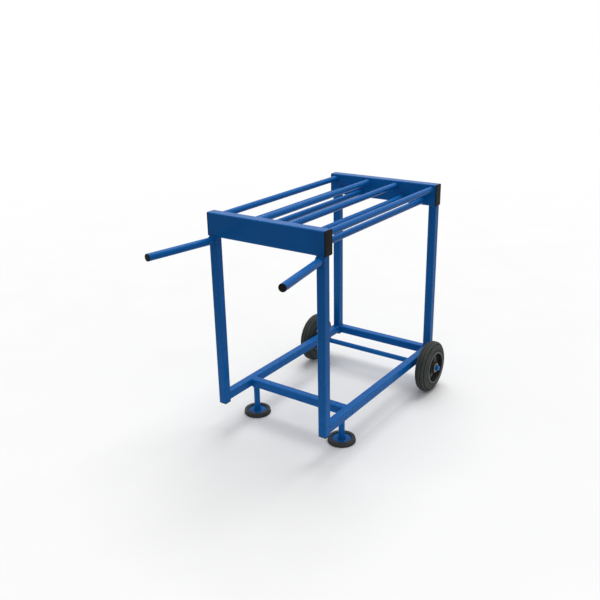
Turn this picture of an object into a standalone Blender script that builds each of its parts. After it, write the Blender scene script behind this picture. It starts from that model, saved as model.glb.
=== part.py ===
# A free-standing rack on two wheels and two feet, which holds shots on two tracks of round rails.
# X runs across the rack, Y from the handles at the front to the wheels at the rear, Z up.
# The origin is on the floor, under the middle of the whole rack. All sizes are in metres.

import math

import bmesh
import bpy
from mathutils import Vector

# Whole rack
rack_width = 0.456  # over the outer faces of the legs
rack_length = 0.785  # front face of the front beam to back face of the rear beam
rack_height = 0.800  # floor to the top of the beams
joint_gap = 0.0003  # between two pieces that are welded, pressed or seated together

# Front and rear beams, rectangular tube on edge
beam_height = 0.080
beam_depth = 0.040
beam_wall = 0.0025
beam_corner = 0.004

# Square tube of the legs, the side rails and the cross tubes
tube_side = 0.030
tube_wall = 0.002
tube_corner = 0.0035
leg_reach = 0.005  # from the underside of the side rails down to the open end of a leg
cross_tube_setback = 0.148  # front face of the front beam to front face of the front cross tube

# Plastic caps and plugs in the open ends of the tubes
cap_flange = 0.004
cap_boss = 0.015
plug_flange = 0.0035
plug_boss = 0.012
plug_chamfer = 0.001
boss_draft = 0.0005  # how much narrower a boss is at its tip, on each side

# Round rails that carry the shots, two upper and two lower in each track
rail_radius = 0.011
rail_wall = 0.002
upper_rail_drop = 0.018  # top of the beams to the centres of the upper rails
lower_rail_rise = 0.019  # underside of the beams to the centres of the lower rails
rail_inset = 0.018  # outer faces of the legs to the centres of the outermost rails
upper_rail_spacing = 0.149
lower_rail_spacing = 0.088

# Handles
handle_radius = 0.0125
handle_wall = 0.002
handle_length = 0.256  # front face of the leg to the end of the plug, along the handle
handle_splay = math.radians(10.2)
handle_drop = 0.001  # underside of the beam to the top of the handle

# Front feet: a stem, a disc on its end, and a rubber cup under the disc
stem_radius = 0.011
stem_wall = 0.002
stem_inset = 0.0005  # inner face of the side rail to the side of the stem
disc_radius = 0.034
disc_thickness = 0.006
disc_chamfer = 0.0015
cup_wall = 0.0157
cup_height = 0.015
cup_floor = 0.005
cup_edge = 0.0025
cup_taper = 0.002  # the cup's radius at the floor, less its radius at the top

# Axle bar, and what sits on it between a side rail and the end of the bar
axle_radius = 0.010
axle_overhang = 0.0115  # outer washer to the end of the bar
axle_chamfer = 0.0015
running_gap = 0.0003  # round the bar, in each piece that sits on it
side_play = 0.0005  # between a hub and the washer on each side of it
spacer_length = 0.0119
spacer_radius = 0.015
washer_radius = 0.018
washer_thickness = 0.0025

# Split pins through the ends of the axle bar
pin_wire = 0.0009  # radius of the wire
pin_slit = 0.0003  # between the two legs
pin_neck = 0.001  # surface of the bar to the place where the legs part
pin_eye = 0.0034  # radius of the eye, to the middle of the wire
pin_lean = math.radians(60)  # how steeply the wire climbs into the eye
pin_tail = 0.006  # length of each bent end

# Wheels
wheel_radius = 0.100
wheel_inset = 0.004  # back face of the rear beam to the rearmost point of the tyres
tyre_width = 0.048  # over the side walls, where they bulge most
tyre_thickness = 0.037
tyre_crown = 0.012  # width of the level middle of the tread
tyre_depth = 0.030  # top of the tread to where the side walls bulge most
bead_width = 0.044
groove_count = 4
groove_pitch = 0.0125
groove_width = 0.003
groove_depth = 0.002
rim_width = 0.053
rim_wall = 0.006
rim_draft = 0.0015
web_thickness = 0.005
web_offset = 0.0105  # middle of the wheel to the outer face of the web, at the rim
web_dish = 0.008  # how much further out the web stands at the hub
hub_radius = 0.020
hub_length = 0.049
bush_wall = 0.0022
window_count = 5
window_margin = 0.0055  # solid web left beside a window, towards the rim and towards the hub
spoke_width = 0.0115
first_window = math.radians(44.6)  # middle of the first window, from the rear towards the top

# Facets
corner_steps = 3
tube_facets = 24
turned_facets = 28
wheel_facets = 40
window_facets = 16
eye_steps = 12
crease = math.radians(35)

# Places that follow from the sizes above
plug_face = handle_radius - plug_chamfer  # radius of the flat end of a handle plug
handle_reach = handle_length * math.cos(handle_splay) + plug_face * math.sin(handle_splay)
front = (handle_reach - rack_length) / 2
back = front + rack_length
side = rack_width / 2
beam_underside = rack_height - beam_height
beam_level = rack_height - beam_height / 2
front_beam_y = front + beam_depth / 2
rear_beam_y = back - beam_depth / 2
base_underside = wheel_radius + axle_radius + joint_gap
base_level = base_underside + tube_side / 2
leg_x = side - tube_side / 2
front_leg_y = front + tube_side / 2
rear_leg_y = back - tube_side / 2
leg_bottom = base_underside - leg_reach
axle_y = back - wheel_inset - wheel_radius

sides = {"left": -1, "right": 1}

# Turns that lay a shape made along Z along another axis
along_x = (math.pi / 2, 0, math.pi / 2)  # its X becomes Y, and its Y becomes Z
along_y = (math.pi / 2, 0, 0)  # its X stays, and its Y becomes Z
upside_down = (math.pi, 0, 0)

for old in list(bpy.data.objects):
    bpy.data.objects.remove(old, do_unlink=True)

rack = bpy.data.collections.new("shot_put_rack")
cutters = bpy.data.collections.new("cutters")
bpy.context.scene.collection.children.link(rack)
bpy.context.scene.collection.children.link(cutters)


# Materials

def new_material(name, colour, roughness, metallic=0.0):
    material = bpy.data.materials.new(name)
    material.use_nodes = True
    shader = material.node_tree.nodes["Principled BSDF"]
    shader.inputs["Base Color"].default_value = (*colour, 1.0)
    shader.inputs["Roughness"].default_value = roughness
    shader.inputs["Metallic"].default_value = metallic
    material.diffuse_color = (*colour, 1.0)
    return material


blue_paint = new_material("blue powder coat", (0.010, 0.095, 0.34), 0.4)
black_plastic = new_material("black plastic", (0.018, 0.018, 0.018), 0.5)
tyre_rubber = new_material("tyre rubber", (0.035, 0.037, 0.037), 0.75)
foot_rubber = new_material("foot rubber", (0.025, 0.025, 0.025), 0.7)
bush_plastic = new_material("bush plastic", (0.35, 0.34, 0.31), 0.45)
zinc_plate = new_material("zinc plate", (0.55, 0.56, 0.57), 0.35, 0.9)


# Shapes

def finished_mesh(name, maker):
    """Turns a temporary object into a plain mesh, welds its loose caps and removes the object."""
    bpy.context.scene.collection.objects.link(maker)
    graph = bpy.context.evaluated_depsgraph_get()
    mesh = bpy.data.meshes.new_from_object(maker.evaluated_get(graph))
    mesh.name = name
    bpy.data.objects.remove(maker, do_unlink=True)
    work = bmesh.new()
    work.from_mesh(mesh)
    bmesh.ops.remove_doubles(work, verts=work.verts, dist=1e-6)
    bmesh.ops.recalc_face_normals(work, faces=work.faces)
    work.to_mesh(mesh)
    work.free()
    return mesh


def rectangle_outline(width, height, corner):
    """The points of a rectangle with round corners."""
    points = []
    for number, (x, y) in enumerate(((1, 1), (-1, 1), (-1, -1), (1, -1))):
        centre = Vector((x * (width / 2 - corner), y * (height / 2 - corner)))
        for step in range(corner_steps + 1):
            angle = math.pi / 2 * (number + step / corner_steps)
            points.append(centre + corner * Vector((math.cos(angle), math.sin(angle))))
    return points


def ellipse_outline(radius_x, radius_y, facets):
    angles = [2 * math.pi * number / facets for number in range(facets)]
    return [Vector((radius_x * math.cos(angle), radius_y * math.sin(angle))) for angle in angles]


def extruded_mesh(name, outlines, length):
    """Extrudes the first outline along Z, with the others as holes."""
    curve = bpy.data.curves.new(name, "CURVE")
    curve.dimensions = "2D"
    curve.fill_mode = "BOTH"
    curve.extrude = length / 2
    for outline in outlines:
        spline = curve.splines.new("POLY")
        spline.points.add(len(outline) - 1)
        for point, (x, y) in zip(spline.points, outline):
            point.co = (x, y, 0, 1)
        spline.use_cyclic_u = True
    return finished_mesh(name, bpy.data.objects.new(name, curve))


def rectangular_tube(name, width, height, wall, corner, length):
    outer = rectangle_outline(width, height, corner)
    inner = rectangle_outline(width - 2 * wall, height - 2 * wall, max(corner - wall, corner / 4))
    return extruded_mesh(name, (outer, inner), length)


def round_tube(name, radius, bore, length, facets=tube_facets):
    outlines = [ellipse_outline(size, size, facets) for size in (radius, bore)]
    return extruded_mesh(name, outlines, length)


def turned_mesh(name, profile, facets):
    """Turns a profile of (radius, height) points about Z. One that starts on the axis also ends there."""
    line = bpy.data.meshes.new(name)
    edges = [(number, number + 1) for number in range(len(profile) - 1)]
    if profile[0][0] > 0:
        edges.append((len(profile) - 1, 0))
    line.from_pydata([(radius, 0, height) for radius, height in profile], edges, [])
    maker = bpy.data.objects.new(name, line)
    screw = maker.modifiers.new("turn", "SCREW")
    screw.steps = facets
    screw.render_steps = facets
    screw.use_merge_vertices = True
    screw.merge_threshold = 0.00001
    return finished_mesh(name, maker)


def plug_mesh(name, outline, width, height, wall, flange, boss):
    """A plug, its outer face at Z = 0: a flange as wide as the tube, and a boss that goes inside it."""
    sections = (
        (0, plug_chamfer),
        (plug_chamfer, 0),
        (flange, 0),
        (flange, wall + joint_gap),
        (flange + boss, wall + joint_gap + boss_draft),
    )
    work = bmesh.new()
    rings = []
    for level, inset in sections:
        scale_x = 1 - 2 * inset / width
        scale_y = 1 - 2 * inset / height
        rings.append([work.verts.new((x * scale_x, y * scale_y, level)) for x, y in outline])
    for lower, upper in zip(rings, rings[1:]):
        for number in range(len(outline)):
            work.faces.new((lower[number - 1], lower[number], upper[number], upper[number - 1]))
    work.faces.new(rings[0])
    work.faces.new(rings[-1])
    bmesh.ops.recalc_face_normals(work, faces=work.faces)
    mesh = bpy.data.meshes.new(name)
    work.to_mesh(mesh)
    work.free()
    return mesh


def wire_mesh(name, points, radius):
    """A bent wire through points, with closed ends."""
    curve = bpy.data.curves.new(name, "CURVE")
    curve.dimensions = "3D"
    curve.bevel_depth = radius
    curve.bevel_resolution = 1
    curve.use_fill_caps = True
    spline = curve.splines.new("POLY")
    spline.points.add(len(points) - 1)
    for point, place in zip(spline.points, points):
        point.co = (*place, 1)
    return finished_mesh(name, bpy.data.objects.new(name, curve))


def add_empty(name, location, turn):
    empty = bpy.data.objects.new(name, None)
    empty.location = location
    empty.rotation_euler = turn
    rack.objects.link(empty)
    return empty


def add_piece(name, mesh, material, location=(0, 0, 0), turn=(0, 0, 0), parent=None):
    """Puts a copy of a mesh in the rack as one named piece."""
    mesh = mesh.copy()
    mesh.shade_smooth()
    mesh.set_sharp_from_angle(angle=crease)
    mesh.materials.clear()
    mesh.materials.append(material)
    piece = bpy.data.objects.new(name, mesh)
    piece.location = location
    piece.rotation_euler = turn
    piece.parent = parent
    rack.objects.link(piece)
    return piece


def cut(piece, name, mesh, location=(0, 0, 0), turn=(0, 0, 0), parent=None):
    """Takes a shape out of a piece."""
    cutter = bpy.data.objects.new(name, mesh)
    cutter.location = location
    cutter.rotation_euler = turn
    cutter.parent = parent
    cutter.hide_render = True
    cutter.display_type = "WIRE"
    cutters.objects.link(cutter)
    modifier = piece.modifiers.new(name, "BOOLEAN")
    modifier.operation = "DIFFERENCE"
    modifier.object = cutter
    modifier.solver = "EXACT"


# Beams and their caps

beam = rectangular_tube("beam", beam_depth, beam_height, beam_wall, beam_corner, rack_width)
beam_outline = rectangle_outline(beam_depth, beam_height, beam_corner)
beam_cap = plug_mesh("beam_cap", beam_outline, beam_depth, beam_height, beam_wall, cap_flange, cap_boss)
for end, y in (("front", front_beam_y), ("rear", rear_beam_y)):
    add_piece(f"{end}_beam", beam, blue_paint, (0, y, beam_level), along_x)
    for name, sign in sides.items():
        place = (sign * (side + joint_gap + cap_flange), y, beam_level)
        turn = (math.pi / 2, 0, -sign * math.pi / 2)
        add_piece(f"beam_cap_{end}_{name}", beam_cap, black_plastic, place, turn)


# Legs and their plugs

def square_tube(name, length):
    return rectangular_tube(name, tube_side, tube_side, tube_wall, tube_corner, length)


leg_length = beam_underside - joint_gap - leg_bottom
leg = square_tube("leg", leg_length)
leg_outline = rectangle_outline(tube_side, tube_side, tube_corner)
leg_plug = plug_mesh("leg_plug", leg_outline, tube_side, tube_side, tube_wall, plug_flange, plug_boss)
for end, y in (("front", front_leg_y), ("rear", rear_leg_y)):
    for name, sign in sides.items():
        x = sign * leg_x
        plug_place = (x, y, leg_bottom - joint_gap - plug_flange)
        add_piece(f"leg_{end}_{name}", leg, blue_paint, (x, y, leg_bottom + leg_length / 2))
        add_piece(f"leg_plug_{end}_{name}", leg_plug, black_plastic, plug_place)


# Base: a side rail between the legs on each side, and two cross tubes between the sides

side_rail = square_tube("side_rail", rack_length - 2 * tube_side - 2 * joint_gap)
for name, sign in sides.items():
    place = (sign * leg_x, (front_leg_y + rear_leg_y) / 2, base_level)
    add_piece(f"side_rail_{name}", side_rail, blue_paint, place, along_y)

cross_tube = square_tube("cross_tube", rack_width - 2 * tube_side - 2 * joint_gap)
front_cross_y = front + cross_tube_setback + tube_side / 2
add_piece("front_cross_tube", cross_tube, blue_paint, (0, front_cross_y, base_level), along_x)
add_piece("rear_cross_tube", cross_tube, blue_paint, (0, rear_leg_y, base_level), along_x)


# Rails of the two tracks, from beam to beam

rail_length = rack_length - 2 * beam_depth - 2 * joint_gap
rail = round_tube("rail", rail_radius, rail_radius - rail_wall, rail_length)
track_x = side - rail_inset - upper_rail_spacing / 2
levels = {
    "upper": (rack_height - upper_rail_drop, upper_rail_spacing),
    "lower": (beam_underside + lower_rail_rise, lower_rail_spacing),
}
for level, (z, spacing) in levels.items():
    for name, sign in sides.items():
        for edge, offset in (("inner", -spacing / 2), ("outer", spacing / 2)):
            place = (sign * (track_x + offset), (front_beam_y + rear_beam_y) / 2, z)
            add_piece(f"{level}_rail_{name}_{edge}", rail, blue_paint, place, along_y)


# Handles, cut to lie flat on the front faces of the front legs

def handle_mesh(sign):
    length = handle_length - plug_flange - joint_gap
    mesh = round_tube("handle", handle_radius, handle_radius - handle_wall, length)
    for vertex in mesh.vertices:
        if vertex.co.z < 0:
            vertex.co.z = sign * vertex.co.x * math.tan(handle_splay) + joint_gap / math.cos(handle_splay)
        else:
            vertex.co.z = length
    return mesh


handle_level = beam_underside - handle_drop - handle_radius
handle_outline = ellipse_outline(handle_radius, handle_radius, tube_facets)
handle_plug = plug_mesh(
    "handle_plug", handle_outline, 2 * handle_radius, 2 * handle_radius, handle_wall, plug_flange, plug_boss
)
for name, sign in sides.items():
    place = (sign * leg_x, front, handle_level)
    axis = add_empty(f"handle_axis_{name}", place, (math.pi / 2, 0, sign * handle_splay))
    add_piece(f"handle_{name}", handle_mesh(sign), blue_paint, parent=axis)
    add_piece(f"handle_plug_{name}", handle_plug, black_plastic, (0, 0, handle_length), upside_down, axis)


# Front feet, under the front cross tube

cup_bore = disc_radius + joint_gap
cup_radius = cup_bore + cup_wall
disc_bottom = cup_floor + joint_gap
stem_bottom = disc_bottom + disc_thickness + joint_gap
stem_length = base_underside - joint_gap - stem_bottom
foot_x = side - tube_side - stem_inset - stem_radius

stem = round_tube("stem", stem_radius, stem_radius - stem_wall, stem_length)
disc = turned_mesh(
    "disc",
    (
        (0, disc_thickness),
        (disc_radius - disc_chamfer, disc_thickness),
        (disc_radius, disc_thickness - disc_chamfer),
        (disc_radius, 0),
        (0, 0),
    ),
    turned_facets,
)
cup = turned_mesh(
    "cup",
    (
        (0, cup_floor),
        (cup_bore, cup_floor),
        (cup_bore, cup_height - cup_edge),
        (cup_bore + cup_edge, cup_height),
        (cup_radius - cup_taper - cup_edge, cup_height),
        (cup_radius - cup_taper, cup_height - cup_edge),
        (cup_radius, cup_edge),
        (cup_radius - cup_edge, 0),
        (0, 0),
    ),
    turned_facets,
)
for name, sign in sides.items():
    x = sign * foot_x
    add_piece(f"foot_stem_{name}", stem, blue_paint, (x, front_cross_y, stem_bottom + stem_length / 2))
    add_piece(f"foot_disc_{name}", disc, blue_paint, (x, front_cross_y, disc_bottom))
    add_piece(f"foot_pad_{name}", cup, foot_rubber, (x, front_cross_y, 0))


# Axle bar, welded under the side rails, with a cross hole near each end for a split pin

bush_bore = axle_radius + running_gap
inner_washer_x = side + spacer_length + washer_thickness / 2 + 2 * joint_gap
wheel_x = inner_washer_x + washer_thickness / 2 + side_play + hub_length / 2
outer_washer_x = wheel_x + hub_length / 2 + side_play + washer_thickness / 2
washer_face = outer_washer_x + washer_thickness / 2
axle_half = washer_face + axle_overhang
leg_offset = pin_wire + pin_slit / 2
pin_hole = leg_offset + pin_wire + running_gap
pin_x = washer_face + pin_hole

axle = turned_mesh(
    "axle",
    (
        (0, axle_half),
        (axle_radius - axle_chamfer, axle_half),
        (axle_radius, axle_half - axle_chamfer),
        (axle_radius, axle_chamfer - axle_half),
        (axle_radius - axle_chamfer, -axle_half),
        (0, -axle_half),
    ),
    turned_facets,
)
axle_bar = add_piece("axle_bar", axle, blue_paint, (0, axle_y, wheel_radius), along_x)
hole_outline = ellipse_outline(pin_hole, pin_hole, window_facets)
hole = extruded_mesh("pin_hole", (hole_outline,), 4 * axle_radius)
for name, sign in sides.items():
    cut(axle_bar, f"pin_hole_{name}", hole, (sign * pin_x, axle_y, wheel_radius))


# Spacers, washers and split pins

def pin_route():
    """The wire of a split pin, from one bent end up through the bar, round the eye and down again."""
    climb = (pin_eye * math.sin(pin_lean) - leg_offset) / math.cos(pin_lean)
    neck = axle_radius + pin_neck
    eye_level = neck + climb * math.sin(pin_lean) + pin_eye * math.cos(pin_lean)
    start = -math.pi / 2 - pin_lean
    sweep = 2 * (math.pi - pin_lean)
    half = [
        (-leg_offset - pin_tail * math.sin(pin_lean), -neck - pin_tail * math.cos(pin_lean)),
        (-leg_offset, -neck),
        (-leg_offset, neck),
    ]
    eye = []
    for step in range(eye_steps + 1):
        angle = start - sweep * step / eye_steps
        eye.append((pin_eye * math.cos(angle), eye_level + pin_eye * math.sin(angle)))
    other_half = [(-y, z) for y, z in reversed(half)]
    return [(0, y, z) for y, z in half + eye + other_half]


spacer = round_tube("spacer", spacer_radius, bush_bore, spacer_length, turned_facets)
washer = round_tube("washer", washer_radius, bush_bore, washer_thickness, turned_facets)
split_pin = wire_mesh("split_pin", pin_route(), pin_wire)
spacer_x = side + joint_gap + spacer_length / 2
for name, sign in sides.items():
    for label, mesh, x in (
        ("wheel_spacer", spacer, spacer_x),
        ("inner_washer", washer, inner_washer_x),
        ("outer_washer", washer, outer_washer_x),
    ):
        add_piece(f"{label}_{name}", mesh, zinc_plate, (sign * x, axle_y, wheel_radius), along_x)
    add_piece(f"split_pin_{name}", split_pin, zinc_plate, (sign * pin_x, axle_y, wheel_radius))


# Wheels: a rubber tyre on a plastic rim, with a bush pressed into the hub

tyre_bore = wheel_radius - tyre_thickness
bulge_radius = wheel_radius - tyre_depth
rim_radius = tyre_bore - joint_gap
rim_bore = rim_radius - rim_wall
hub_bore = bush_bore + bush_wall + joint_gap


def tread_level(offset):
    """How far the tread stands from the axle, at a distance from the middle of the tyre."""
    share = max(0, abs(offset) - tyre_crown / 2) / (tyre_width / 2 - tyre_crown / 2)
    return bulge_radius + tyre_depth * math.sqrt(max(0, 1 - share**2))


def tyre_profile():
    """The tyre's section: its outside from one bead to the other. The way back is its bore."""
    first_groove = (groove_count - 1) / 2 * groove_pitch
    shoulder_edge = math.acos((tread_level(first_groove + groove_width / 2) - bulge_radius) / tyre_depth)
    shoulder = []
    for step in range(corner_steps):
        angle = math.pi / 2 + (shoulder_edge - math.pi / 2) * step / corner_steps
        height = tyre_crown / 2 + (tyre_width / 2 - tyre_crown / 2) * math.sin(angle)
        shoulder.append((bulge_radius + tyre_depth * math.cos(angle), height))
    tread = []
    for number in range(groove_count):
        middle = first_groove - number * groove_pitch
        if number:
            rib = middle + groove_pitch / 2
            tread.append((tread_level(rib), rib))
        tread.append((tread_level(middle + groove_width / 2), middle + groove_width / 2))
        tread.append((tread_level(middle) - groove_depth, middle))
        tread.append((tread_level(middle - groove_width / 2), middle - groove_width / 2))
    other_shoulder = [(radius, -height) for radius, height in reversed(shoulder)]
    beads = [(tyre_bore, bead_width / 2), (tyre_bore, -bead_width / 2)]
    return beads[:1] + shoulder + tread + other_shoulder + beads[1:]


def rim_profile():
    """The section of the rim, its dished web and the hub: the inner face, then the outer face."""
    rim = rim_width / 2
    hub = hub_length / 2
    inner_web = web_offset - web_thickness
    return [
        (rim_radius, -rim),
        (rim_bore, -rim),
        (rim_bore - rim_draft, inner_web),
        (hub_radius, inner_web + web_dish),
        (hub_radius - rim_draft, -hub),
        (hub_bore, -hub),
        (hub_bore, hub),
        (hub_radius - rim_draft, hub),
        (hub_radius, web_offset + web_dish),
        (rim_bore - rim_draft, web_offset),
        (rim_bore, rim),
        (rim_radius, rim),
    ]


window_inner = hub_radius + window_margin
window_outer = rim_bore - rim_draft - window_margin
window_middle = (window_inner + window_outer) / 2
window_half = window_middle * math.sin(math.pi / window_count) - spoke_width / 2
window_outline = ellipse_outline((window_outer - window_inner) / 2, window_half, window_facets)
window = extruded_mesh("window", (window_outline,), 2 * (web_thickness + web_dish))
tyre = turned_mesh("tyre", tyre_profile(), wheel_facets)
rim = turned_mesh("rim", rim_profile(), wheel_facets)
bush = round_tube("bush", bush_bore + bush_wall, bush_bore, hub_length, turned_facets)
for name, sign in sides.items():
    outwards = (sign * math.pi / 2, 0, math.pi / 2)  # X becomes Y, and Z points away from the rack
    centre = add_empty(f"wheel_centre_{name}", (sign * wheel_x, axle_y, wheel_radius), outwards)
    add_piece(f"tyre_{name}", tyre, tyre_rubber, parent=centre)
    add_piece(f"wheel_bush_{name}", bush, bush_plastic, parent=centre)
    wheel_rim = add_piece(f"wheel_rim_{name}", rim, black_plastic, parent=centre)
    for number in range(window_count):
        angle = sign * (first_window + 2 * math.pi * number / window_count)
        place = (window_middle * math.cos(angle), window_middle * math.sin(angle), web_offset)
        cut(wheel_rim, f"window_{name}_{number + 1}", window, place, (0, 0, angle), centre)
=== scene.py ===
import math

import bmesh
import bpy
from mathutils import Euler, Matrix, Vector


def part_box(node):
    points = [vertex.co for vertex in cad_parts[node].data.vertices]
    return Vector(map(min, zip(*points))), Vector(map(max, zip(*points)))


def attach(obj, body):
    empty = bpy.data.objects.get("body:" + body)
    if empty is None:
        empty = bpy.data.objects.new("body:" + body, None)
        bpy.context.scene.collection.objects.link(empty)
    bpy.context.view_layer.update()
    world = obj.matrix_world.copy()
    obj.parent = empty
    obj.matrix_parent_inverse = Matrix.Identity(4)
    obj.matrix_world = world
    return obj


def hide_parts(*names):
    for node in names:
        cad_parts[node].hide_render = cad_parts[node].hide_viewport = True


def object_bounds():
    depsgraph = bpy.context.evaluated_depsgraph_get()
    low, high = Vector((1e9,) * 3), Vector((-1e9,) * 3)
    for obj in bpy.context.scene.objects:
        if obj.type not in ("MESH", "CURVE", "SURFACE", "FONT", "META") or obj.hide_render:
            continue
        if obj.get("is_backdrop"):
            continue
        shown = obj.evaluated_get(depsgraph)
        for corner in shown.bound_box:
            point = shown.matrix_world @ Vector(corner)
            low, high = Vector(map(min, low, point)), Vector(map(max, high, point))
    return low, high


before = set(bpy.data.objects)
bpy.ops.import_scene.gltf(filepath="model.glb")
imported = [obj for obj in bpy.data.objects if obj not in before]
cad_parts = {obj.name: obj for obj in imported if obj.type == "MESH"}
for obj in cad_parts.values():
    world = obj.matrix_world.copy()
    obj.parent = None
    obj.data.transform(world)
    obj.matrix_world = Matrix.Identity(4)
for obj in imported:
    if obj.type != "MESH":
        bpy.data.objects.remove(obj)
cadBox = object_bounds()
print("frame loaded:", len(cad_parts), "nodes")

sideSigns = {"left": -1, "right": 1}
endSigns = {"front": 1, "rear": -1}  # the way along Y from each end to the middle


def newObject(name, data):
    made = bpy.data.objects.new(name, data)
    bpy.context.scene.collection.objects.link(made)
    return made


# Camera, at the place and angle of the photograph

camera = {
    "place": (1.3946, -2.0222, 1.3817),
    "turnDegrees": (69.351, 1.099, 35.195),
    "lensMm": 44.674,
    "sensorMm": 36.0,
    "clipEnd": 200,
}
lens = bpy.data.cameras.new("photoCamera")
lens.lens = camera["lensMm"]
lens.sensor_width = camera["sensorMm"]
lens.clip_end = camera["clipEnd"]
photoCamera = newObject("photoCamera", lens)
photoCamera.location = camera["place"]
photoCamera.rotation_euler = [math.radians(turn) for turn in camera["turnDegrees"]]
bpy.context.scene.camera = photoCamera
print("camera placed")


# Mesh tools

detail = {
    "cornerSteps": 6,
    "smallestCorner": 0.0003,
    "onAxis": 1e-6,  # a smaller radius is a point on the axis
    "merge": 1e-7,
    "sharpDegrees": 32,
    "wornDegrees": 9,  # an edge that bends more begins to be worn
    "fullyWornDegrees": 14,
}


def roundedOutline(width, height, corner, inset, keeper):
    # a point this far beside each corner keeps the shading of the flats flat
    radius = max(corner - inset, detail["smallestCorner"])
    points = []
    for number, (signX, signY) in enumerate(((1, 1), (-1, 1), (-1, -1), (1, -1))):
        centre = Vector((signX * (width / 2 - inset - radius), signY * (height / 2 - inset - radius)))
        start = number * math.pi / 2
        arc = []
        for step in range(detail["cornerSteps"] + 1):
            angle = start + math.pi / 2 * step / detail["cornerSteps"]
            arc.append(centre + radius * Vector((math.cos(angle), math.sin(angle))))
        before = Vector((-math.sin(start), math.cos(start))) * keeper
        after = Vector((-math.cos(start), -math.sin(start))) * keeper
        points += [arc[0] - before] + arc + [arc[-1] + after]
    return points


def circleOutline(radius, sides):
    angles = [2 * math.pi * number / sides for number in range(sides)]
    return [Vector((radius * math.cos(angle), radius * math.sin(angle))) for angle in angles]


def ringAt(outline, level):
    return [(*point, level) for point in outline]


def meshOf(work):
    bmesh.ops.recalc_face_normals(work, faces=work.faces)
    mesh = bpy.data.meshes.new("shape")
    work.to_mesh(mesh)
    work.free()
    return mesh


def joinedMesh(parts):
    work = bmesh.new()
    for part in parts:
        work.from_mesh(part)
    return meshOf(work)


def bandFaces(work, lower, upper):
    for number in range(len(lower)):
        work.faces.new((lower[number - 1], lower[number], upper[number], upper[number - 1]))


def loftMesh(rings, ringsMeet=False):
    # rings that meet make a tube with a bore, others a solid with flat ends
    work = bmesh.new()
    loops = [[work.verts.new(point) for point in ring] for ring in rings]
    for lower, upper in zip(loops, loops[1:] + loops[:1] if ringsMeet else loops[1:]):
        bandFaces(work, lower, upper)
    if not ringsMeet:
        work.faces.new(loops[0])
        work.faces.new(loops[-1])
    return meshOf(work)


def turnedMesh(profile, sides):
    # a profile of (radius, height) that starts on the axis is closed there, any other is a ring
    work = bmesh.new()
    loops = []
    for radius, height in profile:
        ring = [(0, 0, height)] if radius < detail["onAxis"] else ringAt(circleOutline(radius, sides), height)
        loops.append([work.verts.new(point) for point in ring])
    pairs = list(zip(loops, loops[1:]))
    if profile[0][0] > detail["onAxis"]:
        pairs.append((loops[-1], loops[0]))
    for lower, upper in pairs:
        for number in range(sides):
            corners = [lower[number - 1], lower[number]] if len(lower) > 1 else [lower[0]]
            corners += [upper[number], upper[number - 1]] if len(upper) > 1 else [upper[0]]
            work.faces.new(corners)
    return meshOf(work)


def profileArc(radius, height, size, startDegrees, endDegrees, steps=5):
    points = []
    for step in range(steps + 1):
        angle = math.radians(startDegrees + (endDegrees - startDegrees) * step / steps)
        points.append((radius + size * math.cos(angle), height + size * math.sin(angle)))
    return points


def markWornEdges(mesh):
    # 1 on rounded and bevelled edges, 0 on flats and on gently round tube
    work = bmesh.new()
    work.from_mesh(mesh)
    spread = detail["fullyWornDegrees"] - detail["wornDegrees"]
    worn = []
    for vertex in work.verts:
        bend = math.degrees(max((edge.calc_face_angle(0.0) for edge in vertex.link_edges), default=0.0))
        worn.append(min(max((bend - detail["wornDegrees"]) / spread, 0.0), 1.0))
    work.free()
    mesh.attributes.new("wornEdge", "FLOAT", "POINT").data.foreach_set("value", worn)


alongX = Matrix.Rotation(math.pi / 2, 4, "Y")
alongY = Matrix.Rotation(-math.pi / 2, 4, "X")


def placed(mesh, place, turn=Matrix()):
    mesh.transform(Matrix.Translation(place) @ turn)
    return mesh


def evaluatedMesh(carrier):
    # keeps what the modifiers make, as a plain mesh
    graph = bpy.context.evaluated_depsgraph_get()
    mesh = bpy.data.meshes.new_from_object(carrier.evaluated_get(graph))
    bpy.data.objects.remove(carrier, do_unlink=True)
    return mesh


def addPiece(name, mesh, finish, slot, body, *nodes):
    mesh.name = name
    mesh.materials.clear()
    mesh.materials.append(finish)
    markWornEdges(mesh)
    mesh.shade_smooth()
    mesh.set_sharp_from_angle(angle=math.radians(detail["sharpDegrees"]))
    piece = newObject(name, mesh)
    if nodes:
        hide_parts(*nodes)
    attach(piece, body)


def replaceNode(node, mesh, finish, slot, body="frame"):
    # the piece has its node's name in camel case
    first, *others = node.split("_")
    addPiece(first + "".join(other.title() for other in others), mesh, finish, slot, body, node)


def boxOf(node):
    low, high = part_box(node)
    return (low + high) / 2, high - low


# Node tools

def feed(tree, node, inputs):
    # inputs go by name or number: a node's first output, a socket or a plain value
    for label, value in inputs.items():
        if isinstance(value, bpy.types.Node):
            value = value.outputs[0]
        if isinstance(value, bpy.types.NodeSocket):
            tree.links.new(value, node.inputs[label])
        else:
            node.inputs[label].default_value = value


def addNode(tree, kind, inputs=None, **settings):
    node = tree.nodes.new(kind)
    for setting, value in settings.items():
        setattr(node, setting, value)
    feed(tree, node, inputs or {})
    return node


def mathOf(tree, operation, *values, clamped=False):
    inputs = dict(enumerate(values))
    return addNode(tree, "ShaderNodeMath", inputs, operation=operation, use_clamp=clamped).outputs[0]


def newTree(name, floats, wholes=()):
    tree = bpy.data.node_groups.new(name, "GeometryNodeTree")
    tree.interface.new_socket("Geometry", in_out="INPUT", socket_type="NodeSocketGeometry")
    kinds = [(label, "Float") for label in floats] + [(label, "Int") for label in wholes]
    for label, kind in kinds + [("Finish", "Material")]:
        tree.interface.new_socket(label, in_out="INPUT", socket_type="NodeSocket" + kind)
    tree.interface.new_socket("Geometry", in_out="OUTPUT", socket_type="NodeSocketGeometry")
    return tree, tree.nodes.new("NodeGroupInput").outputs


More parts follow.
